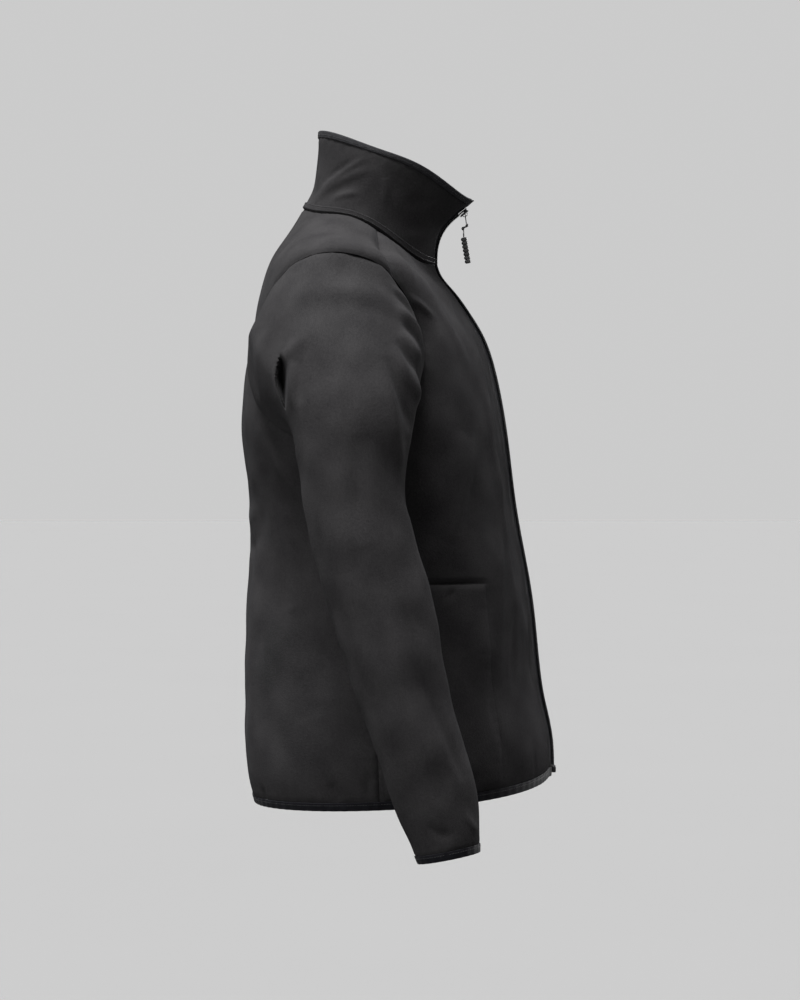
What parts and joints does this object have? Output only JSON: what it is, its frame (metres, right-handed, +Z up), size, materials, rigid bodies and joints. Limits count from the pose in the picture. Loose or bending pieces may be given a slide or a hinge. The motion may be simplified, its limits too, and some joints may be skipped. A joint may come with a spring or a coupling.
{
  "type": "fleece jacket",
  "caption": "Dark zipped fleece jacket in its worn shape, with stand collar, set-in sleeves, bound edges, patch pockets and a swinging zip pull.",
  "frame": {"origin": "middle of the neck opening, level with the neck seam, where the wearer's neck and shoulders hold the jacket", "axes": "+Z up, -Y out of the zipped front, +X to the wearer's left"},
  "size_m": [0.6962, 0.3698, 0.8271],
  "materials": {
    "fleece": "matt, smooth-faced fleece",
    "binding": "matt elastic binding",
    "zip_tape": "matt woven tape",
    "zip_teeth": "satin coil",
    "zip_metal": "black paint",
    "pull_rubber": "matt black cord and moulded grip"
  },
  "bodies": {
    "jacket": {"back": "fleece", "front_right": "fleece", "front_left": "fleece", "sleeve_right": "fleece", "sleeve_left": "fleece", "collar": "fleece", "neck_tape": "fleece", "pocket_right": "fleece", "pocket_left": "fleece", "collar_binding": "binding", "hem_binding": "binding", "cuff_binding_right": "binding", "cuff_binding_left": "binding", "zip_tape_right": "zip_tape", "zip_tape_left": "zip_tape", "zip_chain": "zip_teeth", "zip_slider": "zip_metal", "zip_box": "zip_metal"},
    "zip_pull": {"pull_loop": "pull_rubber", "pull_cord": "pull_rubber", "pull_grip": "pull_rubber"}
  },
  "joints": [
    {"name": "pull_swing", "type": "hinge", "parent": "jacket", "child": "zip_pull", "pos_m": [0, -0.11342, 0.02516], "axis": [-1, 0, 0], "range_deg": [-20, 110]}
  ]
}
